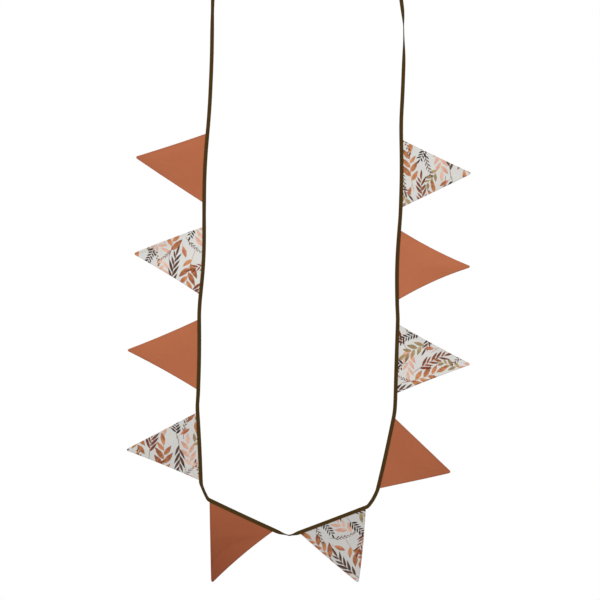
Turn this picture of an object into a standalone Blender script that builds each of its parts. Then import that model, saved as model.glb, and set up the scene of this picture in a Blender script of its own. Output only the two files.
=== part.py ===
"""A fabric bunting: ten pointed pennants sewn into one long folded tape, hung by both tape ends.

The tape runs down the left side, round a shallow V at the bottom and up the right side. The
pennants point away from the inside of that U. X is to the right, Z is up, and the front of the
cloth looks along -Y. The origin is the middle of the tape's left end, where the bunting is held.
"""

import math

import bmesh
import bpy
from mathutils import Vector

MM = 0.001

# The tape: a strip folded in half, so its closed edge faces the inside of the U
TAPE_WIDTH = 9.7 * MM
TAPE_LEAVES = 2.2 * MM
TAPE_OVER_PENNANT = 3.0 * MM
TAPE_EASE = 9 * MM
TAPE_STEP = 8 * MM
TAIL_STEP = 13 * MM

# The pennants: two layers sewn together, their top edge held in the tape's fold
PENNANT_DROP = 178 * MM
PENNANT_SHEET = 1.2 * MM
PENNANT_POINT = 5 * MM
PENNANT_IN_FOLD = 7.4 * MM
PENNANT_COLUMNS = 6
PENNANT_ROWS = 8
PENNANT_BENDS = 24

# Room between cloth and cloth, and how far a pocket's cutter runs out past the tape's open edge
GAP = 0.3 * MM
POCKET_OVERRUN = 4 * MM

TERRACOTTA = (0.445, 0.150, 0.072, 1.0)
PRINTED = (0.560, 0.460, 0.390, 1.0)
TAPE_BROWN = (0.075, 0.036, 0.010, 1.0)
PLAIN_ROUGHNESS = 0.85
FINE_ROUGHNESS = 0.8

# A row for each stretch of bare tape and the pennant after it, from the left end. The first
# stretch is the left tail, so its turn and roll are in LEFT_TAIL below and 0 here.
#  bare    length of bare tape before the pennant, in mm
#  at      share of the bare tape at which the next two hold
#  turn    heading of the bare tape there, in degrees: 0 runs down, 90 to the right, 180 up
#  roll    how far the bare tape is rolled there, in degrees, 90 being edge on to the front
#  base    length of the pennant's sewn edge, in mm
#  start   heading where the pennant starts
#  finish  heading where it ends
#  lift    how far the tape and the pennant's base lean to the front, in degrees
#  curl    how much further the pennant's point leans, in degrees
#  lean    how far the point lies along the tape from the middle of the base, in mm
#  cup     how far the middle of the pennant stands proud of its edges, in mm
#  bow_a   how far the pennant's first side curves inwards at its middle, in mm
#  bow_b   the same on its second side
COLUMNS = (
    "bare", "at", "turn", "roll", "base", "start", "finish", "lift", "curl", "lean", "cup", "bow_a", "bow_b"
)
ROWS = {
    "pennant_01": (395, 0.5, 0, 0, 171, -5, -0.5, 9, 22, -17, 4, 2, 1.5),
    "pennant_02": (63, 0.5, 0, 22, 167, 0, -6, 12, 17, -8, -3, -1, 3),
    "pennant_03": (65, 0.5, -3.5, 10, 173, 0.5, -2, 7, 14, -9, 5, 2.5, 3),
    "pennant_04": (59.5, 0.5, -4, 20, 168, 3.5, 2, 4, 10, -1, 3, 0.5, 2),
    "pennant_05": (58, 0.3, 21, 50, 174, 64.5, 65.5, 5, 9, 2.5, -4, 0, 4.5),
    "pennant_06": (70, 0.52, 74, 88, 174, 110.5, 111, 15, 23, 5, 4, 0.5, -0.5),
    "pennant_07": (60.5, 0.25, 144, 25, 179, 166.5, 168.5, 14, 23, -10, 3, 1, 2.5),
    "pennant_08": (63.5, 0.5, 177, -10, 170, 178.5, 178, 2, 3, -8, -3, 1.5, 2),
    "pennant_09": (63.5, 0.5, 183, 8, 172, 181, 175.5, 5, 8, 1, 5, 6, 4.5),
    "pennant_10": (59, 0.5, 176, 20, 167, 178, 181, 11, 20, 1, 3, 1.5, 2),
}
PENNANTS = {name: dict(zip(COLUMNS, row)) for name, row in ROWS.items()}

# A second place, heading and roll on the three stretches of bare tape that turn a corner
CORNERS = {
    "pennant_05": (0.78, 27, 48),
    "pennant_06": (0.67, 104, 80),
    "pennant_07": (0.8, 156, 18),
}

# The bare tape at each end: a slight turn on the left, and a half twist on the right.
# Each row is a place in mm from the tape's end, its heading and its roll. The last 30 mm are flat.
LEFT_TAIL = ((30, -0.5, 0), (85, -1.2, 42), (150, -0.8, 12), (270, -2.5, 4))
RIGHT_TAIL = ((330, 177, 8), (245, 178, 20), (137, 181, 88), (62, 188, 168), (30, 188, 180))
RIGHT_TAIL_LENGTH = 411 * MM


def ease(share):
    """From 0 to 1 with a level start and end."""
    share = min(max(share, 0.0), 1.0)
    return share * share * (3 - 2 * share)


class Tape:
    """The tape's middle line, read by distance along it from the left end."""

    def __init__(self):
        self.keys = []
        self.span = {}
        along = 0.0
        for distance, heading, roll in LEFT_TAIL:
            self.keys.append((distance * MM, heading, roll))
        for name, row in PENNANTS.items():
            bare = row["bare"] * MM
            if along > 0:
                self.keys.append((along + bare * row["at"], row["turn"], row["roll"]))
                if name in CORNERS:
                    at, heading, roll = CORNERS[name]
                    self.keys.append((along + bare * at, heading, roll))
            along += bare
            self.keys.append((along, row["start"], row["lift"]))
            self.span[name] = (along, along + row["base"] * MM)
            along += row["base"] * MM
            self.keys.append((along, row["finish"], row["lift"]))
        self.length = along + RIGHT_TAIL_LENGTH
        for distance, heading, roll in RIGHT_TAIL:
            self.keys.append((self.length - distance * MM, heading, roll))
        self.points = self.walk()

    def angles(self, along):
        """Heading and roll in radians, eased from each key to the next."""
        before = self.keys[0]
        for key in self.keys:
            if key[0] > along:
                share = (along - before[0]) / (key[0] - before[0]) if key[0] > before[0] else 0.0
                blend = ease(share)
                heading = before[1] + blend * (key[1] - before[1])
                roll = before[2] + blend * (key[2] - before[2])
                return math.radians(heading), math.radians(roll)
            before = key
        return math.radians(before[1]), math.radians(before[2])

    def walk(self):
        """Points of the middle line a millimetre apart, found by following the heading."""
        steps = round(self.length / MM)
        step = self.length / steps
        points = [Vector((0, 0, 0))]
        for n in range(steps):
            heading, _ = self.angles((n + 0.5) * step)
            points.append(points[-1] + step * Vector((math.sin(heading), 0, -math.cos(heading))))
        return points

    def middle(self, along):
        """The middle line's point at a distance along the tape."""
        place = min(max(along / self.length, 0.0), 1.0) * (len(self.points) - 1)
        n = min(int(place), len(self.points) - 2)
        return self.points[n].lerp(self.points[n + 1], place - n)

    def outward(self, along, extra_roll=0.0):
        """The way across the tape towards the pennants' points, leaning to the front by its roll."""
        heading, roll = self.angles(along)
        roll += extra_roll
        flat = Vector((-math.cos(heading), 0, -math.sin(heading)))
        return math.cos(roll) * flat + math.sin(roll) * Vector((0, -1, 0))

    def at(self, along, across):
        """A point of the tape's mid surface: across runs from the closed edge to the pennants."""
        return self.middle(along) + across * self.outward(along)


def new_material(name, colour, roughness):
    """A plain cloth material."""
    material = bpy.data.materials.new(name)
    material.use_nodes = True
    shader = material.node_tree.nodes["Principled BSDF"]
    shader.inputs["Base Color"].default_value = colour
    shader.inputs["Roughness"].default_value = roughness
    shader.inputs["Metallic"].default_value = 0.0
    material.diffuse_color = colour
    return material


def new_sheet(name, columns, rows, place, origin, thickness, collection):
    """A cloth sheet: grid corner (i, j) goes to place(i, j), and Solidify gives it both faces."""
    mesh = bpy.data.meshes.new(name)
    bm = bmesh.new()
    bmesh.ops.create_grid(bm, x_segments=columns, y_segments=rows, size=1.0)
    for vertex in bm.verts:
        i = round((vertex.co.x + 1) / 2 * columns)
        j = round((vertex.co.y + 1) / 2 * rows)
        vertex.co = place(i, j) - origin
    bm.to_mesh(mesh)
    bm.free()
    sheet = bpy.data.objects.new(name, mesh)
    sheet.location = origin
    collection.objects.link(sheet)
    solidify = sheet.modifiers.new("Cloth thickness", "SOLIDIFY")
    solidify.thickness = thickness
    solidify.offset = 0.0
    return sheet


def tape_stations(tape):
    """Distances along the tape for its cross sections: close on bends, wider where it is sewn."""
    stations = []
    along = 0.0
    for start, finish in list(tape.span.values()) + [(tape.length, tape.length)]:
        at_an_end = along == 0.0 or start == tape.length
        count = math.ceil((start - along) / (TAIL_STEP if at_an_end else TAPE_STEP))
        stations += [along + n * (start - along) / count for n in range(count)]
        if finish > start:
            stations += [start + n * (finish - start) / PENNANT_COLUMNS for n in range(PENNANT_COLUMNS)]
        along = finish
    return stations + [tape.length]


def fullness(tape, along):
    """1 where the tape holds a pennant, easing to 0 on bare tape."""
    off = min(max(start - along, along - finish, 0.0) for start, finish in tape.span.values())
    return 1 - ease(off / TAPE_EASE)


def make_tape(tape, collection):
    """The folded tape as one sheet, thicker where its two leaves hold a pennant."""
    stations = tape_stations(tape)
    half = TAPE_WIDTH / 2

    def place(i, j):
        return tape.at(stations[i], half if j else -half)

    strip = new_sheet("tape", len(stations) - 1, 1, place, Vector(), TAPE_OVER_PENNANT, collection)
    group = strip.vertex_groups.new(name="Over a pennant")
    for number, along in enumerate(stations):
        for side in (0, len(stations)):
            group.add([number + side], fullness(tape, along), "REPLACE")
    solidify = strip.modifiers["Cloth thickness"]
    solidify.vertex_group = group.name
    solidify.thickness_vertex_group = TAPE_LEAVES / TAPE_OVER_PENNANT
    return strip


def pennant_surface(tape, name):
    """The pennant's mid surface as a function of its place along the base and down the drop."""
    row = PENNANTS[name]
    start, finish = tape.span[name]
    middle = (start + finish) / 2
    base = finish - start
    edge = TAPE_WIDTH / 2

    def reach(drop):
        """How far outwards and frontwards the cloth gets over a drop, as its lean grows."""
        out = front = 0.0
        step = drop / PENNANT_BENDS
        for n in range(PENNANT_BENDS):
            angle = math.radians(row["curl"]) * (n + 0.5) * step / PENNANT_DROP
            out += math.cos(angle) * step
            front += math.sin(angle) * step
        return out, front

    def point(share, drop):
        """share runs 0 to 1 along the base, and drop runs from the tape's outer edge."""
        down = drop / PENNANT_DROP
        swell = 4 * down * (1 - down)
        low = -base / 2 * (1 - down) - PENNANT_POINT / 2 * down + row["bow_a"] * MM * swell
        high = base / 2 * (1 - down) + PENNANT_POINT / 2 * down - row["bow_b"] * MM * swell
        across = low + share * (high - low) + row["lean"] * MM * down
        out, front = reach(drop)
        front += row["cup"] * MM * swell * 4 * share * (1 - share)
        base_point = tape.middle(middle + across)
        return (
            base_point
            + (edge + out) * tape.outward(middle)
            + front * tape.outward(middle, math.pi / 2)
        )

    return point


def make_pennant(tape, name, collection):
    """One pennant, with the strip of it that lies inside the tape's fold."""
    start, finish = tape.span[name]
    point = pennant_surface(tape, name)
    inside = TAPE_WIDTH / 2 - PENNANT_IN_FOLD

    def place(i, j):
        share = i / PENNANT_COLUMNS
        if j == 0:
            return tape.at(start + share * (finish - start), inside)
        down = (j - 1) / (PENNANT_ROWS - 1)
        if down == 0:
            return tape.at(start + share * (finish - start), TAPE_WIDTH / 2)
        return point(share, down * PENNANT_DROP)

    origin = tape.at((start + finish) / 2, TAPE_WIDTH / 2)
    return new_sheet(name, PENNANT_COLUMNS, PENNANT_ROWS, place, origin, PENNANT_SHEET, collection)


def make_pocket(tape, name, collection):
    """The cutter for the room between the tape's leaves: the pennant's sewn strip, a gap larger."""
    start, finish = tape.span[name]
    inside = TAPE_WIDTH / 2 - PENNANT_IN_FOLD - GAP
    outside = TAPE_WIDTH / 2 + POCKET_OVERRUN

    def place(i, j):
        along = start + i / PENNANT_COLUMNS * (finish - start)
        along += GAP * (1 if i == PENNANT_COLUMNS else -1 if i == 0 else 0)
        return tape.at(along, outside if j else inside)

    thickness = PENNANT_SHEET + 2 * GAP
    pocket = new_sheet("pocket_" + name, PENNANT_COLUMNS, 1, place, Vector(), thickness, collection)
    pocket.hide_render = True
    pocket.display_type = "WIRE"
    return pocket


def main():
    for old in list(bpy.data.objects):
        bpy.data.objects.remove(old, do_unlink=True)
    bunting = bpy.data.collections.new("Bunting")
    cutters = bpy.data.collections.new("Cutters")
    for collection in (bunting, cutters):
        bpy.context.scene.collection.children.link(collection)

    plain = new_material("Terracotta cotton", TERRACOTTA, PLAIN_ROUGHNESS)
    printed = new_material("Printed cotton", PRINTED, FINE_ROUGHNESS)
    brown = new_material("Dark brown binding", TAPE_BROWN, FINE_ROUGHNESS)

    holder = bpy.data.objects.new("bunting", None)
    bunting.objects.link(holder)
    tape = Tape()
    strip = make_tape(tape, bunting)
    strip.data.materials.append(brown)
    strip.parent = holder
    for number, name in enumerate(PENNANTS):
        pennant = make_pennant(tape, name, bunting)
        pennant.data.materials.append(printed if number % 2 else plain)
        pennant.parent = holder
        make_pocket(tape, name, cutters)

    pockets = strip.modifiers.new("Room for the pennants", "BOOLEAN")
    pockets.operation = "DIFFERENCE"
    pockets.operand_type = "COLLECTION"
    pockets.collection = cutters
    pockets.solver = "EXACT"


main()
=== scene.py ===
"""Looks of a fabric bunting: ten sewn pennants in a topstitched brown binding, hung in a deep U.

Every piece is real cloth with two faces: each pennant is two layers turned out with a seam round
its edge, and the binding is one strip folded over the pennants' tops. The tape's path and the
pennants' rows repeat those of the CAD source, in millimetres. X is to the right, Z is up, and the
front of the cloth looks along -Y.
"""

import math

import bmesh
import bpy
import numpy as np
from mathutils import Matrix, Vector, noise


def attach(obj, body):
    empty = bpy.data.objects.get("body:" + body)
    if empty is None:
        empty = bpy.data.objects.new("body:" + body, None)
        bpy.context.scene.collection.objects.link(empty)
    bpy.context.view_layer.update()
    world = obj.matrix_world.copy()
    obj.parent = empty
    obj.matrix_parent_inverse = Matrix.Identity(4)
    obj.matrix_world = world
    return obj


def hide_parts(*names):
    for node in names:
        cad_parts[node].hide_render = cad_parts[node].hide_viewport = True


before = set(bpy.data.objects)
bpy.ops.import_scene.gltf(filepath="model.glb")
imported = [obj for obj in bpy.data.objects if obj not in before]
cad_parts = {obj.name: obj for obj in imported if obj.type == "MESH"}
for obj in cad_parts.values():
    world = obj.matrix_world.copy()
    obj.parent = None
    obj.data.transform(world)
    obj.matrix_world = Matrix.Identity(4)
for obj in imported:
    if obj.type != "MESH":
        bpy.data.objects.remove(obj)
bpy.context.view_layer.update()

MM = 0.001
BODY = "root"

# The binding's finished width, and its thickness where it is bare and where it holds a pennant
TAPE_WIDTH = 9.7
TAPE_BARE = 2.2
TAPE_FULL = 3.0
TAPE_EASE = 9.0
TAPE_LEAF = 0.7
ROOM_BARE = 0.15
TAPE_STEP = 2.8

# The topstitching, measured from the binding's open edge
STITCH_IN = 1.5
STITCH_PITCH = 3.0
STITCH_LENGTH = 2.5
STITCH_WIDTH = 0.5
STITCH_HEIGHT = 0.32
STITCH_DENT = 0.12
STITCH_SINK = 0.15
BAR_FROM_END = 7.0
LINE_FROM_END = 3
LINE_STEP = 2

# Points of the binding's profile by distance from its open edge, closer together at both edges
PROFILE = (0, 0.14, 0.45, 0.95, 1.5, 2.1, 3.1, 4.6, 6.2, 7.2, 8.0, 8.7, 9.2, 9.55, TAPE_WIDTH)

# How far the binding strays from a straight strip, and how far it swells between stitches
SWAY = 0.14
SWAY_LENGTH = 34
PUFF = 0.07
PUFF_ALONG = 5.2
PUFF_ACROSS = 3.5
EDGE_ROUND = 0.14
EDGE_WIDTH = 0.3

# The pennants: their drop from the binding's edge, their blunt point and their strip in the fold
PENNANT_DROP = 178.0
PENNANT_POINT = 5.0
PENNANT_IN_FOLD = 7.4
PENNANT_BENDS = 24
ROUND_POINT = 2.4

# Half the thickness of a pennant's two layers, in the fold, in the middle and over the seam
HALF_IN_FOLD = 0.52
HALF_MIDDLE = 0.45
HALF_SEAM = 0.72
SEAM_ALLOWANCE = 6.0
EDGE_ROLL = 0.8
# How far the painted shade along the seam reaches, in mm
SEAM_SHADE = 1.6

# A row for each stretch of bare tape and the pennant after it, from the left end, as in the CAD
# source: lengths in mm and angles in degrees. LEFT_TAIL has the first stretch's turn and roll.
#  bare, at             the bare tape's length, and the share of it at which the next two hold
#  turn, roll           its heading and roll there
#  base, start, finish  the pennant's sewn edge, and the tape's heading where it starts and ends
#  lift, curl           how far the base leans to the front, and how much further the point does
#  lean                 how far the point lies along the tape from the middle of the base
#  cup, bow_a, bow_b    how far the middle stands proud, and the inward curve of the two sides
COLUMNS = (
    "bare", "at", "turn", "roll",
    "base", "start", "finish",
    "lift", "curl", "lean", "cup", "bow_a", "bow_b",
)
ROWS = {
    "pennant_01": (395, 0.5, 0, 0, 171, -5, -0.5, 9, 22, -17, 4, 2, 1.5),
    "pennant_02": (63, 0.5, 0, 22, 167, 0, -6, 12, 17, -8, -3, -1, 3),
    "pennant_03": (65, 0.5, -3.5, 10, 173, 0.5, -2, 7, 14, -9, 5, 2.5, 3),
    "pennant_04": (59.5, 0.5, -4, 20, 168, 3.5, 2, 4, 10, -1, 3, 0.5, 2),
    "pennant_05": (58, 0.3, 21, 50, 174, 64.5, 65.5, 5, 9, 2.5, -4, 0, 4.5),
    "pennant_06": (70, 0.52, 74, 88, 174, 110.5, 111, 15, 23, 5, 4, 0.5, -0.5),
    "pennant_07": (60.5, 0.25, 144, 25, 179, 166.5, 168.5, 14, 23, -10, 3, 1, 2.5),
    "pennant_08": (63.5, 0.5, 177, -10, 170, 178.5, 178, 2, 3, -8, -3, 1.5, 2),
    "pennant_09": (63.5, 0.5, 183, 8, 172, 181, 175.5, 5, 8, 1, 5, 6, 4.5),
    "pennant_10": (59, 0.5, 176, 20, 167, 178, 181, 11, 20, 1, 3, 1.5, 2),
}
PENNANTS = {name: dict(zip(COLUMNS, row)) for name, row in ROWS.items()}

# A second place, heading and roll on the three stretches of bare tape that turn a corner
CORNERS = {
    "pennant_05": (0.78, 27, 48),
    "pennant_06": (0.67, 104, 80),
    "pennant_07": (0.8, 156, 18),
}

# The bare tape at each end: distance from the tape's end, heading and roll
LEFT_TAIL = ((30, -0.5, 0), (85, -1.2, 42), (150, -0.8, 12), (270, -2.5, 4))
RIGHT_TAIL = ((330, 177, 8), (245, 178, 20), (137, 181, 88), (62, 188, 168), (30, 188, 180))
RIGHT_TAIL_LENGTH = 411

# Some pennants look lighter or darker than the rest: the tone of their cloth at top and point. This is
# partly the cloth's own tone and partly painted light and shade; the darkening towards the point is
# painted shade.
# The plain colour also turns redder as it gets darker, so each channel has a power of that tone.
TONE_AND_SHADE_POWERS = (1.12, 1.5, 1.7)
CLOTH_TONE_AND_SHADE = {
    "pennant_01": (1.03, 1.03),
    "pennant_02": (1.09, 1.09),
    "pennant_03": (1.06, 1.06),
    "pennant_04": (0.96, 0.96),
    "pennant_05": (0.82, 0.60),
    "pennant_06": (0.83, 0.83),
    "pennant_07": (0.95, 0.90),
    "pennant_08": (1.07, 1.07),
    "pennant_09": (1.09, 1.09),
}

# A pennant's soft unevenness: height, length across, length down and seed of each size of wave,
# and the small puckers that a seam leaves beside it
WAVES = (
    (1.3, 62, 74, 0),
    (0.42, 21, 26, 5),
)
PUCKER = 0.30
PUCKER_REACH = 7
PUCKER_ACROSS = 14
PUCKER_ALONG = 5.5
MEAN_BASE = 171

# Soft folds left in a pennant: where each crosses, as a share of the base and a drop in mm, its
# turn in degrees from the base, and its height and half width in mm
FOLDS = {
    "pennant_05": ((0.35, 62, 24, 1.5, 13), (0.40, 104, 38, -1.3, 11)),
    "pennant_07": ((0.45, 70, -12, 0.9, 16),),
}

# Where each printed pennant is cut from the cloth: place in mm and turn in degrees
CUTS = {
    "pennant_02": (40, 12, 78),
    "pennant_04": (148, 95, -100),
    "pennant_06": (20, 150, 14),
    "pennant_08": (110, 30, 195),
    "pennant_10": (75, 118, 262),
}
BACK_CUT = (86, 57)

# The leaf print repeats on a square this long. A leaf sprig has leaves in turn on both sides of
# its stem and one at its tip. Lengths are in mm, the leaves' angle to the stem in degrees.
PRINT_REPEAT = 212.0
KIND_COLUMNS = (
    "reach", "spacing", "leaf", "half", "angle", "arch", "stem",
    "strength", "light", "dark",
)
SPRIG_KINDS = {
    "blush": (76, 20, 34, 5.6, 36, 1.2, 0.40, 0.85, "#E9BDA6", "#C9805F"),
    "olive": (66, 18, 30, 5.4, 40, -1.0, 0.50, 0.92, "#B2955E", "#675232"),
    "amber": (84, 22, 38, 6.5, 37, 1.6, 0.60, 0.97, "#D68E59", "#78341D"),
    "russet": (80, 14, 31, 3.4, 30, 1.0, 0.65, 0.98, "#A4532F", "#45211A"),
    "bark": (84, 18, 34, 3.5, 25, -1.4, 0.75, 0.98, "#734C3A", "#2B1E1A"),
    "twig": (74, 12, 15, 1.8, 33, 0.8, 0.80, 0.98, "#7D4630", "#35201B"),
    "fern": (60, 7.8, 17, 2.6, 47, 0.5, 0.50, 1.0, "#523B34", "#261D1B"),
    "bud": (44, 10, 8, 2.3, 52, 0.0, 0.40, 0.98, "#9A6A3A", "#3B2A24"),
    "fallen": (5, 400, 34, 6.4, 40, 0.0, 0.55, 0.95, "#D3845A", "#8E452B"),
}
SPRIG_COLUMNS = ("kind", "x", "y", "turn", "bend", "size")
SPRIGS = (
    ("blush", 30, 170, 256, 0.0022, 1.0),
    ("blush", 164, 66, 72, 0.0016, 1.0),
    ("blush", 118, 6, 20, -0.0020, 0.9),
    ("olive", 94, 196, 74, -0.0024, 1.0),
    ("olive", 150, 118, 118, 0.0024, 0.85),
    ("amber", 16, 52, 86, -0.0020, 1.0),
    ("amber", 90, 100, 258, 0.0018, 1.0),
    ("amber", 168, 190, 262, -0.0018, 1.0),
    ("russet", 52, 104, 98, 0.0022, 1.0),
    ("russet", 130, 160, 254, 0.0018, 1.0),
    ("russet", 50, 22, 150, -0.0020, 0.85),
    ("bark", 188, 56, 264, 0.0020, 1.0),
    ("bark", 72, 152, 30, 0.0022, 0.8),
    ("twig", 75, 124, 66, 0.0034, 0.85),
    ("twig", 134, 88, 66, -0.0026, 0.85),
    ("twig", 185, 152, 100, 0.0034, 0.8),
    ("twig", 20, 200, 20, -0.0040, 0.7),
    ("twig", 160, 32, 128, 0.0040, 0.6),
    ("fern", 60, 205, 74, -0.0030, 1.0),
    ("fern", 120, 52, 104, 0.0032, 1.0),
    ("fern", 210, 150, 86, 0.0030, 1.0),
    ("bud", 76, 50, 62, 0.0050, 1.0),
    ("bud", 140, 40, 60, 0.0050, 1.0),
    ("fallen", 196, 202, 60, 0.0, 1.0),
    ("fallen", 196, 118, 140, 0.0, 0.9),
    ("fallen", 100, 146, 100, 0.0, 0.8),
)

# Floor under the bunting, well below the lowest point, and the camera's distance in front
FLOOR_Z = -2.2
FLOOR_RADIUS = 12.0
CAMERA_DISTANCE = 15.0
PHOTO_WIDTH = 1.5
PHOTO_CENTRE = Vector((0.2175, 0, -0.810))


def ease(share):
    """From 0 to 1 with a level start and end."""
    share = min(max(share, 0.0), 1.0)
    return share * share * (3 - 2 * share)


def rounded(from_edge, roll):
    """Share of the full thickness at a distance from an edge that is rolled over."""
    return math.sqrt(1 - (1 - min(max(from_edge / roll, 0.0), 1.0)) ** 2)


class Tape:
    """The tape's middle line, read by distance along it from the left end, in millimetres."""

    def __init__(self):
        self.keys = list(LEFT_TAIL)
        self.span = {}
        along = 0.0
        for name, row in PENNANTS.items():
            if along > 0:
                self.keys.append((along + row["bare"] * row["at"], row["turn"], row["roll"]))
                if name in CORNERS:
                    at, heading, roll = CORNERS[name]
                    self.keys.append((along + row["bare"] * at, heading, roll))
            along += row["bare"]
            self.keys.append((along, row["start"], row["lift"]))
            self.span[name] = (along, along + row["base"])
            along += row["base"]
            self.keys.append((along, row["finish"], row["lift"]))
        self.length = along + RIGHT_TAIL_LENGTH
        self.keys += [(self.length - distance, *angles) for distance, *angles in RIGHT_TAIL]
        self.points = self.walk()

    def angles(self, along):
        """Heading and roll in radians, eased from each key to the next."""
        before = self.keys[0]
        for key in self.keys:
            if key[0] > along:
                share = (along - before[0]) / (key[0] - before[0]) if key[0] > before[0] else 0.0
                blend = ease(share)
                return tuple(math.radians(a + blend * (b - a)) for a, b in zip(before[1:], key[1:]))
            before = key
        return math.radians(before[1]), math.radians(before[2])

    def walk(self):
        """Points of the middle line a millimetre apart, found by following the heading."""
        steps = round(self.length)
        step = self.length / steps
        points = [Vector((0, 0, 0))]
        for n in range(steps):
            heading, _ = self.angles((n + 0.5) * step)
            points.append(points[-1] + step * Vector((math.sin(heading), 0, -math.cos(heading))))
        return points

    def middle(self, along):
        """The middle line's point at a distance along the tape."""
        place = min(max(along / self.length, 0.0), 1.0) * (len(self.points) - 1)
        n = min(int(place), len(self.points) - 2)
        return self.points[n].lerp(self.points[n + 1], place - n)

    def outward(self, along, extra_roll=0.0):
        """The way across the tape towards the pennants' points, leaning to the front by its roll."""
        heading, roll = self.angles(along)
        roll += extra_roll
        flat = Vector((-math.cos(heading), 0, -math.sin(heading)))
        return math.cos(roll) * flat + math.sin(roll) * Vector((0, -1, 0))

    def fullness(self, along):
        """1 where the tape holds a pennant, easing to 0 on bare tape."""
        off = min(max(start - along, along - finish, 0.0) for start, finish in self.span.values())
        return 1 - ease(off / TAPE_EASE)


def sewn_cloth(name, outer, inner, outer_map, inner_map, material, slot):
    """A closed piece of cloth from rows of points on its two faces, in mm.

    The faces share the first and last point of each row, and the first and last rows are closed
    from face to face. Each face has its own map, in mm of cloth.
    """
    rows, last = len(outer), len(outer[0]) - 1
    points = [p for row in outer for p in row] + [p for row in inner for p in row[1:-1]]

    def outside(r, k):
        return r * (last + 1) + k

    def inside(r, k):
        return outside(r, k) if k in (0, last) else rows * (last + 1) + r * (last - 1) + k - 1

    faces, places = [], []
    for face, where, step in ((outside, outer_map, 1), (inside, inner_map, -1)):
        for r in range(rows - 1):
            for k in range(last):
                ring = [(r, k), (r, k + 1), (r + 1, k + 1), (r + 1, k)][::step]
                faces.append([face(*corner) for corner in ring])
                places += [where[i][j] for i, j in ring]
    for r, step in ((0, -1), (rows - 1, 1)):
        for k in range(last):
            ring = [(outside, k), (outside, k + 1), (inside, k + 1), (inside, k)][::step]
            corners = []
            for side, j in ring:
                if side(r, j) not in [c for c, _ in corners]:
                    corners.append((side(r, j), outer_map[r][j]))
            faces.append([c for c, _ in corners])
            places += [place for _, place in corners]

    mesh = bpy.data.meshes.new(name)
    mesh.from_pydata([p * MM for p in points], [], faces)
    cloth_map = mesh.uv_layers.new(name="Cloth")
    cloth_map.data.foreach_set("uv", np.array(places, np.float32).ravel())
    shape = bmesh.new()
    shape.from_mesh(mesh)
    bmesh.ops.recalc_face_normals(shape, faces=shape.faces)
    shape.to_mesh(mesh)
    shape.free()
    mesh.shade_smooth()
    mesh.materials.append(material)
    cloth = bpy.data.objects.new(name, mesh)
    bpy.context.scene.collection.objects.link(cloth)
    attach(cloth, BODY)
    return cloth


def pennant_surface(tape, name):
    """A pennant's mid surface as a function of its place along the base and down the drop."""
    row = PENNANTS[name]
    start, finish = tape.span[name]
    middle = (start + finish) / 2
    base = finish - start
    outward, front_way = tape.outward(middle), tape.outward(middle, math.pi / 2)

    def reach(drop):
        """How far outwards and frontwards the cloth gets over a drop, as its lean grows."""
        out = front = 0.0
        step = drop / PENNANT_BENDS
        for n in range(PENNANT_BENDS):
            angle = math.radians(row["curl"]) * (n + 0.5) * step / PENNANT_DROP
            out += math.cos(angle) * step
            front += math.sin(angle) * step
        return out, front

    def point(share, drop, narrowing):
        """The point, and its distance from the pennant's two sides, first and second."""
        if drop <= 0:
            along = start + share * base
            place = tape.middle(along) + (TAPE_WIDTH / 2 + drop) * tape.outward(along)
            return place, share * base, (1 - share) * base
        down = drop / PENNANT_DROP
        swell = 4 * down * (1 - down)
        low = -base / 2 * (1 - down) - PENNANT_POINT / 2 * down + row["bow_a"] * swell
        high = base / 2 * (1 - down) + PENNANT_POINT / 2 * down - row["bow_b"] * swell
        width = (high - low) * narrowing
        across = (low + high) / 2 + (share - 0.5) * width
        out, front = reach(drop)
        front += row["cup"] * swell * 4 * share * (1 - share)
        place = (
            tape.middle(middle + across + row["lean"] * down)
            + (TAPE_WIDTH / 2 + out) * outward
            + front * front_way
        )
        return place, share * width, (1 - share) * width

    return point


def pennant_shares():
    """Places along a pennant's base: close together at the seams, then evenly over the middle."""
    seam = (0.0, 0.0012, 0.004, 0.009, 0.018, 0.03, 0.042, 0.055)
    middle = np.linspace(0.07, 0.93, 55).tolist()
    return [*seam, *middle, *(1 - share for share in reversed(seam))]


def pennant_drops():
    """Rows down a pennant as (drop, narrowing), with the point rounded over the last of them."""
    in_fold = [(-PENNANT_IN_FOLD, 1), (-5, 1), (-3, 1), (-1, 1), (0, 1)]
    body = [(drop, 1) for drop in np.linspace(1, PENNANT_DROP - ROUND_POINT, 92).tolist()]
    turns = [math.radians(angle) for angle in (15, 30, 45, 58, 70, 80, 87)]
    point = [(PENNANT_DROP - ROUND_POINT * (1 - math.sin(t)), math.cos(t)) for t in turns]
    return in_fold + body + point


def cloth_relief(number, name, share, drop, sides):
    """How far a pennant's cloth stands off its smooth surface, in mm."""
    near = min(sides)
    seed = 31.7 * number
    x = (share - 0.5) * MEAN_BASE
    height = sum(
        rise * noise.noise(Vector((x / across, drop / down, seed + more)))
        for rise, across, down, more in WAVES
    )
    for place, down, turn, rise, half in FOLDS.get(name, ()):
        angle = math.radians(turn)
        off = math.cos(angle) * (drop - down) + math.sin(angle) * (share - place) * MEAN_BASE
        height += rise * math.exp(-(off / half) ** 2)
    at_seam = Vector((near / PUCKER_ACROSS, drop / PUCKER_ALONG, seed + 9))
    pucker = PUCKER * math.exp(-near / PUCKER_REACH) * noise.noise(at_seam)
    # The binding holds the cloth flat, and lets it go over 45 mm
    return ease(drop / 45) * height + ease(drop / 6) * pucker


def pennant_thickness(drop, sides):
    """Half the thickness of the two layers, thicker over the seam allowance and rolled at the edge."""
    near = min(*sides, PENNANT_DROP + 0.2 - drop)
    over_seam = 1 - ease((near - SEAM_ALLOWANCE + 1.2) / 2.4)
    half = HALF_MIDDLE + (HALF_SEAM - HALF_MIDDLE) * over_seam
    half += (HALF_IN_FOLD - half) * (1 - ease((drop - 0.5) / 4))
    return half * max(rounded(near, EDGE_ROLL), 0.0)


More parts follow.
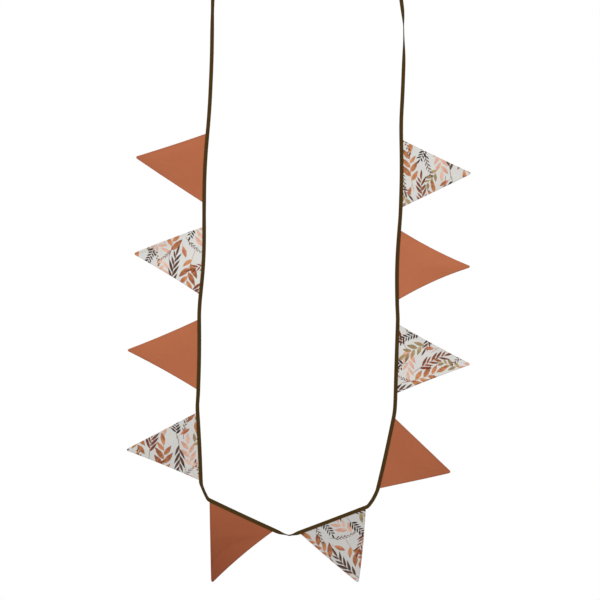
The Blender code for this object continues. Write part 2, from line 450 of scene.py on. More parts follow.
def point_values(cloth, name, grid):
    """Gives each point of a piece of cloth a value, from rows like those of its two faces."""
    values = [v for row in grid for v in row] + [v for row in grid for v in row[1:-1]]
    attribute = cloth.data.attributes.new(name, "FLOAT", "POINT")
    attribute.data.foreach_set("value", values)


def make_pennant(tape, number, name, material):
    """One pennant: two layers sewn round the edge and turned out, its top raw inside the fold."""
    point = pennant_surface(tape, name)
    shares, drops = pennant_shares(), pennant_drops()
    front = tape.outward(sum(tape.span[name]) / 2, math.pi / 2)
    middle, half, seams = [], [], []
    for drop, narrowing in drops:
        places = [point(share, drop, narrowing) for share in shares]
        seams.append([sides for _, *sides in places])
        middle.append([
            place + cloth_relief(number, name, share, drop, sides) * front
            for share, (place, *sides) in zip(shares, places)
        ])
        half.append([pennant_thickness(drop, sides) for _, *sides in places])
    middle, half = np.array(middle), np.array(half)
    face = np.cross(np.gradient(middle, axis=1), np.gradient(middle, axis=0))
    face /= np.linalg.norm(face, axis=2, keepdims=True)
    half[:, [0, -1]] = 0
    outer, inner = middle - face * half[..., None], middle + face * half[..., None]

    base = PENNANTS[name]["base"]
    x0, y0, turn = CUTS.get(name, (0, 0, 0))
    c, s = math.cos(math.radians(turn)), math.sin(math.radians(turn))
    cut = []
    for drop, narrowing in drops:
        width = base + (PENNANT_POINT - base) * max(drop, 0) / PENNANT_DROP
        across = [(share - 0.5) * width * narrowing for share in shares]
        cut.append([(x0 + c * a - s * drop, y0 + s * a + c * drop) for a in across])
    back = [[(x + BACK_CUT[0], y + BACK_CUT[1]) for x, y in row] for row in cut]

    slot = "printed_cotton" if name in CUTS else "plain_cotton"
    rows = [[[Vector(p) for p in row] for row in grid] for grid in (outer, inner)]
    pennant = sewn_cloth(name + "_cloth", *rows, cut, back, material, slot)
    # Painted shade along the seam, strongest at the edge
    seam_shade_mask = [[math.exp(-min(sides) / SEAM_SHADE) for sides in row] for row in seams]
    point_values(pennant, "seam_shade_mask", seam_shade_mask)
    # The tone attribute: partly the cloth's own tone, partly painted light and shade, darker towards the
    # point on some pennants
    top, low = CLOTH_TONE_AND_SHADE.get(name, (1.0, 1.0))
    tones_and_shade = [top + (low - top) * max(drop, 0) / PENNANT_DROP for drop, _ in drops]
    point_values(pennant, "tone", [[tone] * len(shares) for tone in tones_and_shade])
    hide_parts(name)
    return pennant


def outside_height(across, full):
    """Half the binding's thickness, at a distance from its closed edge."""
    bare, held = TAPE_BARE / 2, TAPE_FULL / 2
    half = bare + (held - bare) * full * ease((across - 0.2) / 2.2)
    at_stitch = math.exp(-((across - (TAPE_WIDTH - STITCH_IN)) / 0.45) ** 2)
    return (half - STITCH_DENT * at_stitch) * rounded(across, bare)


def inside_height(across, full):
    """Half the room between the binding's leaves, at a distance from its closed edge."""
    held = TAPE_FULL / 2 - TAPE_LEAF
    half = ROOM_BARE + (held - ROOM_BARE) * full * ease((across - 0.9) / 1.1)
    return half * rounded(across - TAPE_LEAF, 0.6)


def make_binding(tape, material):
    """The binding: one strip folded over the pennants' tops, with a leaf on each side of them."""
    across = [TAPE_WIDTH - distance for distance in PROFILE]
    profile = [(a, -1) for a in across] + [(a, 1) for a in across[-2::-1]]
    count = round(tape.length / TAPE_STEP)
    outer, inner, outer_map, inner_map = [], [], [], []
    for n in range(count + 1):
        along = n * tape.length / count
        full = tape.fullness(along)
        middle, out = tape.middle(along), tape.outward(along)
        front = tape.outward(along, math.pi / 2)
        sway = SWAY * noise.noise(Vector((along / SWAY_LENGTH, 3.1, 0)))
        at_end = rounded(min(along, tape.length - along) + 0.25, 1.4)
        rows = [], [], [], []
        for a, side in profile:
            place_inside = TAPE_LEAF + a * (TAPE_WIDTH - TAPE_LEAF) / TAPE_WIDTH
            outside, inside = outside_height(a, full), inside_height(place_inside, full)
            if a == TAPE_WIDTH:
                outside = inside = (outside + inside) / 2
            elif a > TAPE_WIDTH - EDGE_WIDTH:
                outside -= EDGE_ROUND * (a - TAPE_WIDTH + EDGE_WIDTH) / EDGE_WIDTH
            puff = PUFF * noise.noise(Vector((along / PUFF_ALONG, a / PUFF_ACROSS, 7.7 * side)))
            outside += puff * rounded(a, 2.0) * (a < TAPE_WIDTH - 0.2)
            place = middle + (a - TAPE_WIDTH / 2 + sway * a / TAPE_WIDTH) * out
            in_place = middle + (place_inside - TAPE_WIDTH / 2) * out
            if a == TAPE_WIDTH:
                in_place = place
            # The profile starts with the leaf on the front
            rows[0].append(place - side * outside * at_end * front)
            rows[1].append(in_place - side * inside * at_end * front)
            rows[2].append((along, side * a))
            rows[3].append((along, side * a + 40))
        for grid, row in zip((outer, inner, outer_map, inner_map), rows):
            grid.append(row)
    binding = sewn_cloth("binding", outer, inner, outer_map, inner_map, material, "binding")
    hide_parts("tape")
    return binding


def stitch_paths(tape):
    """Lines of topstitching as (point, way out of the cloth) in mm, on both faces of the binding."""
    line = TAPE_WIDTH - STITCH_IN
    paths = []
    for side in (1, -1):
        path = []
        for n in range(round((tape.length - 2 * LINE_FROM_END) / LINE_STEP) + 1):
            along = LINE_FROM_END + LINE_STEP * n
            out, front = tape.outward(along), side * tape.outward(along, math.pi / 2)
            height = outside_height(line, tape.fullness(along)) + STITCH_HEIGHT * STITCH_SINK
            path.append((tape.middle(along) + (line - TAPE_WIDTH / 2) * out + height * front, front))
        paths.append(path)
        for along in (BAR_FROM_END, tape.length - BAR_FROM_END):
            out, front = tape.outward(along), side * tape.outward(along, math.pi / 2)
            height = outside_height(TAPE_WIDTH / 2, 0)
            paths.append([
                (tape.middle(along) + (a - TAPE_WIDTH / 2) * out + height * front, front)
                for a in (1.4, TAPE_WIDTH / 2, TAPE_WIDTH - STITCH_IN)
            ])
    return paths


def stitch_tree(thread):
    """Geometry Nodes that lay stitches of a set length and pitch along lines of topstitching."""
    tree = bpy.data.node_groups.new("Topstitching", "GeometryNodeTree")
    sockets = {}
    for name, kind, flow in (
        ("Lines", "NodeSocketGeometry", "INPUT"),
        ("Pitch", "NodeSocketFloat", "INPUT"),
        ("Size", "NodeSocketVector", "INPUT"),
        ("Stitches", "NodeSocketGeometry", "OUTPUT"),
    ):
        sockets[name] = tree.interface.new_socket(name, in_out=flow, socket_type=kind).identifier
    start = add_node(tree, "NodeGroupInput")
    lines = add_node(tree, "GeometryNodeMeshToCurve", {"Mesh": start.outputs["Lines"]})
    points = add_node(
        tree,
        "GeometryNodeCurveToPoints",
        {"Curve": lines.outputs["Curve"], "Length": start.outputs["Pitch"]},
        mode="LENGTH",
    )
    way_out = add_node(
        tree, "GeometryNodeInputNamedAttribute", {"Name": "way_out"}, data_type="FLOAT_VECTOR"
    )
    upright = add_node(
        tree, "FunctionNodeAlignRotationToVector", {"Vector": way_out.outputs["Attribute"]}, axis="Z"
    )
    aligned = add_node(
        tree,
        "FunctionNodeAlignRotationToVector",
        {"Rotation": upright.outputs["Rotation"], "Vector": points.outputs["Tangent"]},
        axis="X",
        pivot_axis="Z",
    )
    bead = add_node(tree, "GeometryNodeMeshUVSphere", {"Segments": 6, "Rings": 4, "Radius": 0.5})
    smooth = add_node(tree, "GeometryNodeSetShadeSmooth", {"Geometry": bead.outputs["Mesh"]})
    laid = add_node(
        tree,
        "GeometryNodeInstanceOnPoints",
        {
            "Points": points.outputs["Points"],
            "Instance": smooth.outputs["Geometry"],
            "Rotation": aligned.outputs["Rotation"],
            "Scale": start.outputs["Size"],
        },
    )
    real = add_node(tree, "GeometryNodeRealizeInstances", {"Geometry": laid.outputs["Instances"]})
    made = add_node(
        tree, "GeometryNodeSetMaterial", {"Geometry": real.outputs["Geometry"], "Material": thread}
    )
    add_node(tree, "NodeGroupOutput", {"Stitches": made.outputs["Geometry"]})
    return tree, sockets


def make_topstitching(tape, thread):
    """Every stitch of the binding, on both faces, as one mesh."""
    lines = bpy.data.meshes.new("Stitch lines")
    points, edges, ways = [], [], []
    for path in stitch_paths(tape):
        edges += [(len(points) + n, len(points) + n + 1) for n in range(len(path) - 1)]
        points += [point * MM for point, _ in path]
        ways += [way for _, way in path]
    lines.from_pydata(points, edges, [])
    attribute = lines.attributes.new("way_out", "FLOAT_VECTOR", "POINT")
    attribute.data.foreach_set("vector", np.array(ways, np.float32).ravel())
    holder = bpy.data.objects.new("Stitch lines", lines)
    bpy.context.scene.collection.objects.link(holder)

    tree, sockets = stitch_tree(thread)
    layer = holder.modifiers.new("Topstitching", "NODES")
    layer.node_group = tree
    layer[sockets["Pitch"]] = STITCH_PITCH * MM
    layer[sockets["Size"]] = (STITCH_LENGTH * MM, STITCH_WIDTH * MM, STITCH_HEIGHT * MM)
    result = holder.evaluated_get(bpy.context.evaluated_depsgraph_get())
    mesh = bpy.data.meshes.new_from_object(result)
    mesh.name = "topstitching"
    bpy.data.objects.remove(holder)
    stitches = bpy.data.objects.new("topstitching", mesh)
    bpy.context.scene.collection.objects.link(stitches)
    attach(stitches, BODY)
    return stitches


def hex_colour(code, alpha=1.0):
    """Linear colour of an sRGB hex code."""
    channels = [int(code[n:n + 2], 16) / 255 for n in (1, 3, 5)]
    linear = [c / 12.92 if c <= 0.04045 else ((c + 0.055) / 1.055) ** 2.4 for c in channels]
    return (*linear, alpha)


def add_node(tree, kind, inputs=None, **settings):
    """Adds a node, gives it its settings, and fills its sockets with values or links."""
    node = tree.nodes.new(kind)
    for name, value in settings.items():
        setattr(node, name, value)
    for socket, value in (inputs or {}).items():
        if isinstance(value, bpy.types.NodeSocket):
            tree.links.new(value, node.inputs[socket])
        else:
            node.inputs[socket].default_value = value
    return node


def work_out(tree, found, sums):
    """Adds the nodes of a table of sums, whose terms are numbers or the names of what is found."""
    for name, operation, *terms in sums:
        values = {n: found.get(term, term) for n, term in enumerate(terms)}
        found[name] = add_node(tree, "ShaderNodeMath", values, operation=operation).outputs[0]


# The sums of a leaf sprig, one Math node a row: name, operation and terms. A term is a number,
# the name of an earlier row, or a socket of the group. All lengths are in mm.
SPRIG_SUMS = (
    # Distance from the foot of the stem, from the curved stem, and on which side of it
    ("x", "MULTIPLY_ADD", "Reach", 0.6, "off_centre"),
    ("x_squared", "MULTIPLY", "off_centre", "off_centre"),
    ("stem_rise", "MULTIPLY", "x_squared", "Bend"),
    ("off_stem", "SUBTRACT", "y", "stem_rise"),
    ("side", "SIGN", "off_stem"),
    ("beside", "ABSOLUTE", "off_stem"),
    # Which leaf's strip this is, counted from the foot of the stem
    ("cos", "COSINE", "Angle"),
    ("sin", "SINE", "Angle"),
    ("run", "DIVIDE", "beside", "sin"),
    ("run_along", "MULTIPLY", "run", "cos"),
    ("root", "SUBTRACT", "x", "run_along"),
    ("stagger", "MULTIPLY", "Spacing", 0.25),
    ("shift", "MULTIPLY", "side", "stagger"),
    ("shifted", "ADD", "root", "shift"),
    ("spaces", "DIVIDE", "shifted", "Spacing"),
    ("number", "ROUND", "spaces"),
    ("leaf_root", "MULTIPLY", "number", "Spacing"),
    ("slip", "SUBTRACT", "shifted", "leaf_root"),
    ("key", "MULTIPLY_ADD", "side", 0.25, "number"),
    ("seeded_key", "ADD", "key", "Seed"),
)
LEAF_SUMS = (
    # Length of this leaf: a chance share, and shorter towards the tip of the sprig
    ("stem_share", "DIVIDE", "leaf_root", "Reach"),
    ("taper", "MULTIPLY_ADD", "stem_share", -0.32, 1.06),
    ("luck", "MULTIPLY_ADD", "chance", 0.36, 0.78),
    ("size", "MULTIPLY", "taper", "luck"),
    ("length", "MULTIPLY", "Leaf", "size"),
    # Share of the leaf's length, and distance from its midrib
    ("slip_along", "MULTIPLY", "slip", "cos"),
    ("leaf_run", "ADD", "run", "slip_along"),
    ("any_share", "DIVIDE", "leaf_run", "length"),
    ("low_share", "MAXIMUM", "any_share", -0.5),
    ("share", "MINIMUM", "low_share", 1.5),
    ("rest", "SUBTRACT", 1.0, "share"),
    ("belly", "MULTIPLY", "share", "rest"),
    ("slip_across", "MULTIPLY", "slip", "sin"),
    ("arched", "MULTIPLY_ADD", "belly", "Arch", "slip_across"),
    ("from_midrib", "ABSOLUTE", "arched"),
    # How far inside its outline, which is fullest below the middle
    ("skew", "MULTIPLY_ADD", "share", -2.6, 5.3),
    ("outline", "MULTIPLY", "belly", "skew"),
    ("full_half", "MULTIPLY", "Half", "size"),
    ("half_here", "MULTIPLY", "outline", "full_half"),
    ("in_leaf", "SUBTRACT", "half_here", "from_midrib"),
    # No leaf below the foot of the stem or past its tip
    ("off_middle", "SUBTRACT", "stem_share", 0.5),
    ("past_middle", "ABSOLUTE", "off_middle"),
    ("beyond", "SUBTRACT", "past_middle", 0.48),
    ("cut_off", "MAXIMUM", "beyond", 0.0),
    ("kept", "MULTIPLY_ADD", "cut_off", -900.0, "in_leaf"),
    # The leaf at the tip, along the stem
    ("tip_run", "SUBTRACT", "x", "Reach"),
    ("tip_share", "DIVIDE", "tip_run", "Leaf"),
    ("tip_rest", "SUBTRACT", 0.9, "tip_share"),
    ("tip_belly", "MULTIPLY", "tip_share", "tip_rest"),
    ("tip_outline", "MULTIPLY", "tip_belly", 4.4),
    ("tip_half", "MULTIPLY", "tip_outline", "Half"),
    ("in_tip", "SUBTRACT", "tip_half", "beside"),
    # The stem, thinner towards its tip
    ("stem_run", "DIVIDE", "x", "Reach"),
    ("stem_thin", "MULTIPLY_ADD", "stem_run", -0.4, 1.1),
    ("stem_half", "MULTIPLY", "Stem", "stem_thin"),
    ("in_stem", "SUBTRACT", "stem_half", "beside"),
    ("stem_off", "SUBTRACT", "stem_run", 0.44),
    ("stem_past", "ABSOLUTE", "stem_off"),
    ("stem_beyond", "SUBTRACT", "stem_past", 0.56),
    ("stem_cut", "MAXIMUM", "stem_beyond", 0.0),
    ("stem_kept", "MULTIPLY_ADD", "stem_cut", -400.0, "in_stem"),
    # All three, with a ragged brushed outline
    ("in_either", "MAXIMUM", "kept", "in_tip"),
    ("ragged_here", "MULTIPLY", "Ragged", "Half"),
    ("in_leaves", "ADD", "in_either", "ragged_here"),
    ("in_sprig", "MAXIMUM", "in_leaves", "stem_kept"),
    # Tone: darker to the tip of a leaf, where paint pooled, at its rim and on its midrib
    ("at_tip", "GREATER_THAN", "in_tip", "kept"),
    ("share_change", "SUBTRACT", "tip_share", "share"),
    ("drawn_share", "MULTIPLY_ADD", "at_tip", "share_change", "share"),
    ("rib_change", "SUBTRACT", "beside", "from_midrib"),
    ("from_rib", "MULTIPLY_ADD", "at_tip", "rib_change", "from_midrib"),
    ("tone_share", "MULTIPLY", "drawn_share", 0.45),
    ("tone_luck", "MULTIPLY_ADD", "chance", 0.5, "tone_share"),
    ("tone_pool", "MULTIPLY_ADD", "Wash", 1.3, "tone_luck"),
    ("tone", "SUBTRACT", "tone_pool", 0.75),
)


def sprig_group():
    """A printed leaf sprig as a node group: its cover and its colour at a place on the cloth."""
    tree = bpy.data.node_groups.new("Leaf sprig", "ShaderNodeTree")
    tree.interface.new_socket("Place", in_out="INPUT", socket_type="NodeSocketVector")
    for name in ("Turn", "Size", "Bend", "Reach", "Spacing", "Leaf", "Half", "Angle", "Arch", "Stem",
                 "Strength", "Seed", "Wash", "Ragged"):
        tree.interface.new_socket(name, in_out="INPUT", socket_type="NodeSocketFloat")
    for name in ("Light", "Dark"):
        tree.interface.new_socket(name, in_out="INPUT", socket_type="NodeSocketColor")
    tree.interface.new_socket("Cover", in_out="OUTPUT", socket_type="NodeSocketFloat")
    tree.interface.new_socket("Colour", in_out="OUTPUT", socket_type="NodeSocketColor")

    start = add_node(tree, "NodeGroupInput")
    half = PRINT_REPEAT / 2
    nearest = add_node(
        tree,
        "ShaderNodeVectorMath",
        {0: start.outputs["Place"], 1: (half, half, half), 2: (-half, -half, -half)},
        operation="WRAP",
    )
    turned = add_node(
        tree,
        "ShaderNodeVectorRotate",
        {"Vector": nearest.outputs[0], "Angle": start.outputs["Turn"]},
        rotation_type="Z_AXIS",
    )
    sized = add_node(
        tree,
        "ShaderNodeVectorMath",
        {0: turned.outputs[0], "Scale": start.outputs["Size"]},
        operation="SCALE",
    )
    place = add_node(tree, "ShaderNodeSeparateXYZ", {0: sized.outputs[0]})
    found = {socket.name: socket for socket in start.outputs if socket.name}
    found |= {"off_centre": place.outputs["X"], "y": place.outputs["Y"]}
    work_out(tree, found, SPRIG_SUMS)
    chance = add_node(
        tree, "ShaderNodeTexWhiteNoise", {"W": found["seeded_key"]}, noise_dimensions="1D"
    )
    found["chance"] = chance.outputs["Value"]
    work_out(tree, found, LEAF_SUMS)
    cover = add_node(
        tree,
        "ShaderNodeMapRange",
        {
            "Value": found["in_sprig"],
            "From Min": -0.1,
            "From Max": 0.35,
            "To Max": start.outputs["Strength"],
        },
        interpolation_type="SMOOTHSTEP",
    )
    rim = add_node(
        tree,
        "ShaderNodeMapRange",
        {"Value": found["in_leaves"], "From Max": 1.1, "To Min": 0.30, "To Max": 0.0},
        interpolation_type="SMOOTHSTEP",
    )
    midrib = add_node(
        tree,
        "ShaderNodeMapRange",
        {"Value": found["from_rib"], "From Min": 0.15, "From Max": 0.45, "To Min": 0.22, "To Max": 0.0},
    )
    drawn = add_node(tree, "ShaderNodeMath", {0: rim.outputs[0], 1: midrib.outputs[0]}, operation="ADD")
    depth = add_node(
        tree, "ShaderNodeMath", {0: found["tone"], 1: drawn.outputs[0]}, operation="ADD", use_clamp=True
    )
    colour = add_node(
        tree,
        "ShaderNodeMix",
        {0: depth.outputs[0], 6: start.outputs["Light"], 7: start.outputs["Dark"]},
        data_type="RGBA",
    )
    add_node(tree, "NodeGroupOutput", {"Cover": cover.outputs[0], "Colour": colour.outputs[2]})
    return tree


# Threads of a plain weave: each crossing is a small rounded bump, warp and weft in turn on top
WEAVE_SUMS = (
    ("u", "DIVIDE", "x", "Thread"),
    ("v", "DIVIDE", "y", "Thread"),
    ("u_turn", "MULTIPLY", "u", math.pi),
    ("v_turn", "MULTIPLY", "v", math.pi),
    ("u_wave", "SINE", "u_turn"),
    ("v_wave", "SINE", "v_turn"),
    ("crossing", "MULTIPLY", "u_wave", "v_wave"),
    ("bump", "ABSOLUTE", "crossing"),
    ("height", "POWER", "bump", 0.6),
)


def weave_group():
    """A plain weave as a node group: the height of its threads, and its uneven yarn, round 0.5."""
    tree = bpy.data.node_groups.new("Plain weave", "ShaderNodeTree")
    tree.interface.new_socket("Place", in_out="INPUT", socket_type="NodeSocketVector")
    tree.interface.new_socket("Thread", in_out="INPUT", socket_type="NodeSocketFloat")
    tree.interface.new_socket("Height", in_out="OUTPUT", socket_type="NodeSocketFloat")
    tree.interface.new_socket("Yarn", in_out="OUTPUT", socket_type="NodeSocketFloat")
    start = add_node(tree, "NodeGroupInput")
    place = add_node(tree, "ShaderNodeSeparateXYZ", {0: start.outputs["Place"]})
    found = {"x": place.outputs["X"], "y": place.outputs["Y"], "Thread": start.outputs["Thread"]}
    work_out(tree, found, WEAVE_SUMS)
    yarns = []
    # Slubs about 1.2 mm wide and 28 mm long, along the warp and along the weft
    for scale in ((0.8, 0.036, 1), (0.036, 0.8, 1)):
        stretched = add_node(
            tree, "ShaderNodeVectorMath", {0: start.outputs["Place"], 1: scale}, operation="MULTIPLY"
        )
        yarns.append(add_node(tree, "ShaderNodeTexNoise", {"Vector": stretched.outputs[0], "Detail": 2.0}))
    both = add_node(
        tree, "ShaderNodeMath", {0: yarns[0].outputs["Fac"], 1: yarns[1].outputs["Fac"]}, operation="ADD"
    )
    yarn = add_node(tree, "ShaderNodeMath", {0: both.outputs[0], 1: 0.5}, operation="MULTIPLY")
    add_node(tree, "NodeGroupOutput", {"Height": found["height"], "Yarn": yarn.outputs[0]})
    return tree


def cloth_material(name, weave, thread, thread_height, roughness, sheen):
    """A matt woven cloth with its weave in the bump. Its base colour is left to the caller."""
    material = bpy.data.materials.new(name)
    material.use_nodes = True
    tree = material.node_tree
    shader = tree.nodes["Principled BSDF"]
    shader.inputs["Roughness"].default_value = roughness
    shader.inputs["Specular IOR Level"].default_value = 0.2
    shader.inputs["Sheen Weight"].default_value = sheen
    shader.inputs["Sheen Roughness"].default_value = 0.5
    cloth = add_node(tree, "ShaderNodeUVMap", uv_map="Cloth")
    threads = add_node(
        tree, "ShaderNodeGroup", {"Place": cloth.outputs["UV"], "Thread": thread}, node_tree=weave
    )
    bump = add_node(
        tree,
        "ShaderNodeBump",
        {"Height": threads.outputs["Height"], "Distance": thread_height * MM, "Strength": 0.6},
    )
    tree.links.new(bump.outputs["Normal"], shader.inputs["Normal"])
    return material, tree, shader, cloth.outputs["UV"], threads.outputs["Yarn"]


def shaded_by_yarn(tree, colour, yarn, depth):
    """The colour made lighter and darker by uneven yarn, by up to depth."""
    shade = add_node(
        tree,
        "ShaderNodeMapRange",
        {"Value": yarn, "From Min": 0.35, "From Max": 0.65, "To Min": 1 - depth, "To Max": 1 + depth},
    )
    return add_node(
        tree, "ShaderNodeVectorMath", {0: colour, "Scale": shade.outputs[0]}, operation="SCALE"
    ).outputs[0]


def seam_shaded(tree, colour, depth):
    """Painted shade: the colour made darker along a pennant's seam edge, where four layers lie together.
    """
    near = add_node(tree, "ShaderNodeAttribute", attribute_name="seam_shade_mask")
    shade = add_node(
        tree,
        "ShaderNodeMapRange",
        {"Value": near.outputs["Fac"], "To Min": 1.0, "To Max": 1 - depth},
    )
    return add_node(
        tree, "ShaderNodeVectorMath", {0: colour, "Scale": shade.outputs[0]}, operation="SCALE"
    ).outputs[0]


def toned_and_shaded(tree, colour, powers=(1, 1, 1)):
    """The colour made lighter or darker by the pennant's tone, partly its own and partly painted light and
    shade, each channel by its power.
    """
    tone = add_node(tree, "ShaderNodeAttribute", attribute_name="tone")
    shares = {
        channel: add_node(
            tree, "ShaderNodeMath", {0: tone.outputs["Fac"], 1: power}, operation="POWER"
        ).outputs[0]
        for channel, power in enumerate(powers)
    }
    share = add_node(tree, "ShaderNodeCombineXYZ", shares)
    return add_node(
        tree, "ShaderNodeVectorMath", {0: colour, 1: share.outputs[0]}, operation="MULTIPLY"
    ).outputs[0]


def terracotta_cotton(weave):
    """Piece-dyed plain-weave cotton: matt, warm brown-orange, faintly uneven from its yarn."""
    # The real threads are about 0.4 mm apart, drawn at 0.9 so that they show in a close view
    material, tree, shader, cloth, yarn = cloth_material(
        "Terracotta plain weave cotton", weave, 0.9, 0.10, 0.88, 0.06
    )
    # Dye takes a little unevenly over patches about 70 mm across
    patches = add_node(tree, "ShaderNodeTexNoise", {"Vector": cloth, "Scale": 0.014, "Detail": 2.0})
    dye = add_node(
        tree,
        "ShaderNodeMix",
        {0: patches.outputs["Fac"], 6: hex_colour("#AE6240"), 7: hex_colour("#B56A47")},
        data_type="RGBA",
    )
    # Painted light and shade, with the cloth's own tone, from the pennant's tone attribute
    dyed_and_shaded = toned_and_shaded(tree, dye.outputs[2], TONE_AND_SHADE_POWERS)
    # Painted shade along the seam, over the yarn's unevenness
    colour = seam_shaded(tree, shaded_by_yarn(tree, dyed_and_shaded, yarn, 0.07), 0.22)
    tree.links.new(colour, shader.inputs["Base Color"])
    return material


def leaf_print_cotton(weave):
    """Off-white plain-weave cotton with a leaf print in the cloth's face, as pigment ink gives."""
    # A finer cloth than the plain one: 0.35 mm threads, drawn at 0.8
    material, tree, shader, cloth, yarn = cloth_material(
        "Leaf print cotton", weave, 0.8, 0.07, 0.85, 0.04
    )
    # Watery washes about 10 mm across, and a brushed outline that wanders over 3 mm
    washes = add_node(tree, "ShaderNodeTexNoise", {"Vector": cloth, "Scale": 0.11, "Detail": 3.0})
    brushed = add_node(tree, "ShaderNodeTexNoise", {"Vector": cloth, "Scale": 0.36, "Detail": 2.0})
    ragged = add_node(
        tree,
        "ShaderNodeMapRange",
        {
            "Value": brushed.outputs["Fac"],
            "From Min": 0.3,
            "From Max": 0.7,
            "To Min": -0.09,
            "To Max": 0.09,
        },
    )
    # The ground is off-white, with a faint lilac grey cast in patches
    cast = add_node(tree, "ShaderNodeTexNoise", {"Vector": cloth, "Scale": 0.026, "Detail": 1.0})
    ground = add_node(
        tree,
        "ShaderNodeMix",
        {0: cast.outputs["Fac"], 6: hex_colour("#DBD9D2"), 7: hex_colour("#D2D1D0")},
        data_type="RGBA",
    )
    colour = ground.outputs[2]
    group = sprig_group()
    for number, row in enumerate(SPRIGS):
        sprig = dict(zip(SPRIG_COLUMNS, row))
        kind = dict(zip(KIND_COLUMNS, SPRIG_KINDS[sprig["kind"]]))
        away = add_node(
            tree, "ShaderNodeVectorMath", {0: cloth, 1: (sprig["x"], sprig["y"], 0)}, operation="SUBTRACT"
        )
        values = {name.capitalize(): value for name, value in kind.items()}
        values |= {
            "Place": away.outputs[0],
            "Turn": -math.radians(sprig["turn"]),
            "Size": 1 / sprig["size"],
            "Bend": sprig["bend"],
            "Angle": math.radians(kind["angle"]),
            "Seed": 17.0 * number,
            "Wash": washes.outputs["Fac"],
            "Ragged": ragged.outputs[0],
            "Light": hex_colour(kind["light"]),
            "Dark": hex_colour(kind["dark"]),
        }
        drawn = add_node(tree, "ShaderNodeGroup", values, node_tree=group)
        colour = add_node(
            tree,
            "ShaderNodeMix",
            {0: drawn.outputs["Cover"], 6: colour, 7: drawn.outputs["Colour"]},
            data_type="RGBA",
        ).outputs[2]
    # Painted light and shade with the cloth's own tone from the tone attribute, then painted shade along
    # the seam
    colour = seam_shaded(tree, shaded_by_yarn(tree, toned_and_shaded(tree, colour), yarn, 0.035), 0.14)
    tree.links.new(colour, shader.inputs["Base Color"])
    return material


def brown_binding(weave):
    """Dark brown cotton bias binding: matt."""
    # Threads 0.35 mm apart, drawn at 0.8
    material, tree, shader, cloth, yarn = cloth_material(
        "Brown cotton bias binding", weave, 0.8, 0.09, 0.9, 0.02
    )
    # Handling leaves patches about 60 mm long
    patches = add_node(tree, "ShaderNodeTexNoise", {"Vector": cloth, "Scale": 0.016, "Detail": 2.0})
    dye = add_node(
        tree,
        "ShaderNodeMix",
        {0: patches.outputs["Fac"], 6: hex_colour("#3F2B06"), 7: hex_colour("#4B350C")},
        data_type="RGBA",
    )
    colour = shaded_by_yarn(tree, dye.outputs[2], yarn, 0.08)
    tree.links.new(colour, shader.inputs["Base Color"])
    return material


def brown_thread():
    """Spun polyester sewing thread: dark brown with a slight lustre, twisted along its length."""
    material = bpy.data.materials.new("Brown polyester thread")
    material.use_nodes = True
    tree = material.node_tree
    shader = tree.nodes["Principled BSDF"]
    shader.inputs["Roughness"].default_value = 0.55
    shader.inputs["Sheen Weight"].default_value = 0.1
    place = add_node(tree, "ShaderNodeTexCoord")
    # The two plies show as slanted bands about 0.6 mm apart, the darker bands painted shade in the grooves
    # between them
    plies = add_node(
        tree,
        "ShaderNodeTexWave",
        {"Vector": place.outputs["Object"], "Scale": 520.0, "Distortion": 1.5},
        bands_direction="DIAGONAL",
    )
    colour = add_node(
        tree,
        "ShaderNodeMix",
        {0: plies.outputs["Fac"], 6: hex_colour("#4A3114"), 7: hex_colour("#6A4A25")},
        data_type="RGBA",
    )
    tree.links.new(colour.outputs[2], shader.inputs["Base Color"])
    return material


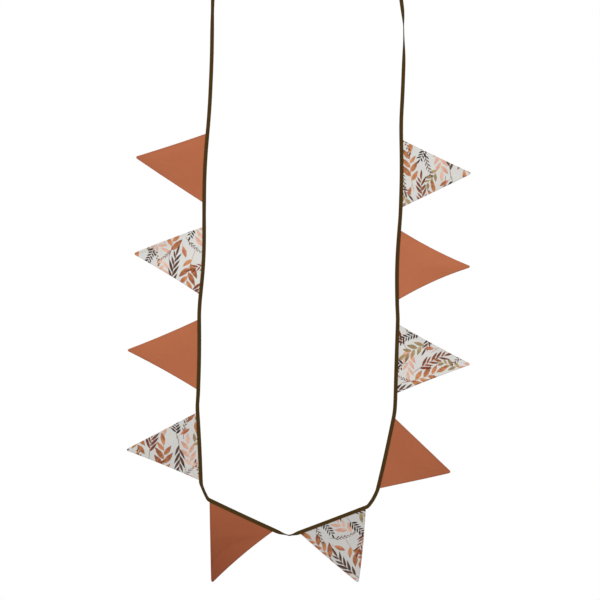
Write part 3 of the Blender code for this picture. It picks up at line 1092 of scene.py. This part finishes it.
def pale_floor():
    """A pale matt painted floor."""
    material = bpy.data.materials.new("Pale matt floor paint")
    material.use_nodes = True
    tree = material.node_tree
    shader = tree.nodes["Principled BSDF"]
    shader.inputs["Roughness"].default_value = 0.9
    place = add_node(tree, "ShaderNodeTexCoord")
    cloudy = add_node(tree, "ShaderNodeTexNoise", {"Vector": place.outputs["Object"], "Scale": 0.8})
    colour = add_node(
        tree,
        "ShaderNodeMix",
        {0: cloudy.outputs["Fac"], 6: hex_colour("#EDECEA"), 7: hex_colour("#F3F2F1")},
        data_type="RGBA",
    )
    tree.links.new(colour.outputs[2], shader.inputs["Base Color"])
    mesh = bpy.data.meshes.new("floor")
    sides = 96
    rim = [
        (FLOOR_RADIUS * math.cos(a), FLOOR_RADIUS * math.sin(a), FLOOR_Z)
        for a in np.linspace(0, 2 * math.pi, sides, endpoint=False)
    ]
    mesh.from_pydata(rim, [], [range(sides)])
    mesh.materials.append(material)
    floor = bpy.data.objects.new("floor", mesh)
    bpy.context.scene.collection.objects.link(floor)


def place_camera():
    """A long lens straight in front, whose frame is the photograph's 1.5 m square."""
    data = bpy.data.cameras.new("camera")
    data.lens = data.sensor_width * CAMERA_DISTANCE / PHOTO_WIDTH
    camera = bpy.data.objects.new("camera", data)
    camera.location = PHOTO_CENTRE - Vector((0, CAMERA_DISTANCE, 0))
    camera.rotation_euler = (math.pi / 2, 0, 0)
    bpy.context.scene.collection.objects.link(camera)
    bpy.context.scene.camera = camera


def place_lights():
    """White studio surroundings, and two softboxes above and in front, the left one stronger."""
    bpy.context.scene.view_settings.view_transform = "Standard"
    world = bpy.data.worlds.new("Studio")
    world.use_nodes = True
    bpy.context.scene.world = world
    tree = world.node_tree
    background = tree.nodes["Background"]
    # The surroundings light the cloth more softly than they show behind it
    ray = add_node(tree, "ShaderNodeLightPath")
    strength = add_node(
        tree, "ShaderNodeMapRange", {"Value": ray.outputs["Is Camera Ray"], "To Min": 0.6, "To Max": 1.0}
    )
    background.inputs["Color"].default_value = (1, 1, 1, 1)
    tree.links.new(strength.outputs[0], background.inputs["Strength"])
    for name, place, size, power in (
        ("Left softbox", (-1.3, -2.2, 1.1), 1.6, 38),
        ("Right softbox", (1.9, -2.4, 0.7), 1.6, 19),
    ):
        lamp = bpy.data.lights.new(name, "AREA")
        lamp.size = size
        lamp.energy = power
        light = bpy.data.objects.new(name, lamp)
        light.location = place
        aim = Vector((PHOTO_CENTRE.x, 0, -0.6)) - Vector(place)
        light.rotation_euler = aim.to_track_quat("-Z", "Y").to_euler()
        bpy.context.scene.collection.objects.link(light)


def main():
    place_camera()
    place_lights()
    pale_floor()
    tape = Tape()
    weave = weave_group()
    plain, printed = terracotta_cotton(weave), leaf_print_cotton(weave)
    binding = make_binding(tape, brown_binding(weave))
    topstitching = make_topstitching(tape, brown_thread())
    for number, name in enumerate(PENNANTS):
        make_pennant(tape, number, name, printed if name in CUTS else plain)


main()
